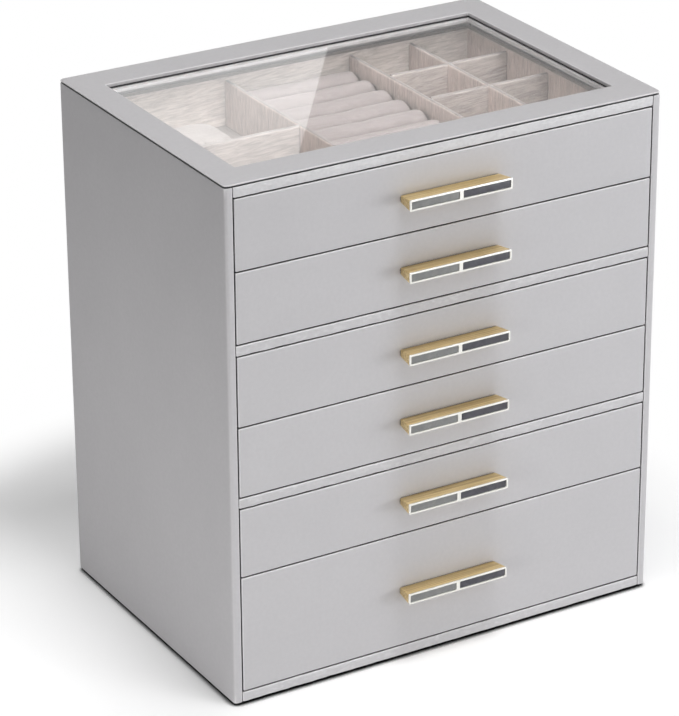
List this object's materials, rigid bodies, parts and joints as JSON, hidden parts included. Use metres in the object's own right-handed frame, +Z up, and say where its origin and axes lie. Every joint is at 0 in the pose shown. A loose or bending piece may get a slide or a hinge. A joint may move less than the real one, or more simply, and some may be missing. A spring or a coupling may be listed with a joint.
{
  "type": "tiered jewelry box",
  "caption": "Upright leatherette jewelry box with stacked drawers, metal bar handles and a glass window in its top over a velvet-lined drawer of ring rolls.",
  "frame": {"origin": "centre of the felt face the box rests on, below the middle of the case", "axes": "+Z up; the drawer fronts face -Y and open that way; +X to the right of someone facing the drawers"},
  "size_m": [0.28, 0.2073, 0.3136],
  "materials": {
    "leatherette": "dove grey leatherette wrap over board, satin, fine grain",
    "velvet": "short-pile greige velvet with a brushed nap",
    "base_felt": "thin dark felt",
    "gold_metal": "warm gold, brushed body with a polished rim",
    "pale_inlay": "mid grey glossy inlay",
    "dark_inlay": "charcoal glossy inlay",
    "window_glass": "clear flat glass, polished"
  },
  "bodies": {
    "case": {"left_side_panel": "leatherette", "right_side_panel": "leatherette", "back_panel": "leatherette", "base_board": "leatherette", "lower_shelf": "leatherette", "upper_shelf": "leatherette", "top_board": "leatherette", "window_frame": "leatherette", "window_glass": "window_glass", "lower_bay_board": "velvet", "middle_bay_board": "velvet", "upper_bay_board": "velvet", "base_felt": "base_felt"},
    "drawer_1": {"drawer_1_front": "leatherette", "drawer_1_tray": "velvet", "drawer_1_handle": "gold_metal", "drawer_1_inlay_left": "pale_inlay", "drawer_1_inlay_right": "dark_inlay", "drawer_1_left_divider": "velvet", "drawer_1_right_divider": "velvet", "drawer_1_cross_divider": "velvet", "drawer_1_grid_spine": "velvet", "drawer_1_grid_cross_1": "velvet", "drawer_1_grid_cross_2": "velvet", "drawer_1_grid_cross_3": "velvet", "drawer_1_ring_roll_1": "velvet", "drawer_1_ring_roll_2": "velvet", "drawer_1_ring_roll_3": "velvet", "drawer_1_ring_roll_4": "velvet", "drawer_1_ring_roll_5": "velvet", "drawer_1_ring_roll_6": "velvet", "drawer_1_ring_roll_7": "velvet", "drawer_1_ring_roll_8": "velvet", "drawer_1_ring_roll_9": "velvet", "drawer_1_bracelet_cushion": "velvet"},
    "drawer_2": {"drawer_2_front": "leatherette", "drawer_2_tray": "velvet", "drawer_2_handle": "gold_metal", "drawer_2_inlay_left": "pale_inlay", "drawer_2_inlay_right": "dark_inlay"},
    "drawer_3": {"drawer_3_front": "leatherette", "drawer_3_tray": "velvet", "drawer_3_handle": "gold_metal", "drawer_3_inlay_left": "pale_inlay", "drawer_3_inlay_right": "dark_inlay"},
    "drawer_4": {"drawer_4_front": "leatherette", "drawer_4_tray": "velvet", "drawer_4_handle": "gold_metal", "drawer_4_inlay_left": "pale_inlay", "drawer_4_inlay_right": "dark_inlay"},
    "drawer_5": {"drawer_5_front": "leatherette", "drawer_5_tray": "velvet", "drawer_5_handle": "gold_metal", "drawer_5_inlay_left": "pale_inlay", "drawer_5_inlay_right": "dark_inlay"},
    "drawer_6": {"drawer_6_front": "leatherette", "drawer_6_tray": "velvet", "drawer_6_handle": "gold_metal", "drawer_6_inlay_left": "pale_inlay", "drawer_6_inlay_right": "dark_inlay"}
  },
  "joints": [
    {"name": "drawer_1_slide", "type": "slide", "parent": "case", "child": "drawer_1", "axis": [0, -1, 0], "range_m": [0, 0.13]},
    {"name": "drawer_2_slide", "type": "slide", "parent": "case", "child": "drawer_2", "axis": [0, -1, 0], "range_m": [0, 0.13]},
    {"name": "drawer_3_slide", "type": "slide", "parent": "case", "child": "drawer_3", "axis": [0, -1, 0], "range_m": [0, 0.13]},
    {"name": "drawer_4_slide", "type": "slide", "parent": "case", "child": "drawer_4", "axis": [0, -1, 0], "range_m": [0, 0.13]},
    {"name": "drawer_5_slide", "type": "slide", "parent": "case", "child": "drawer_5", "axis": [0, -1, 0], "range_m": [0, 0.13]},
    {"name": "drawer_6_slide", "type": "slide", "parent": "case", "child": "drawer_6", "axis": [0, -1, 0], "range_m": [0, 0.13]}
  ]
}
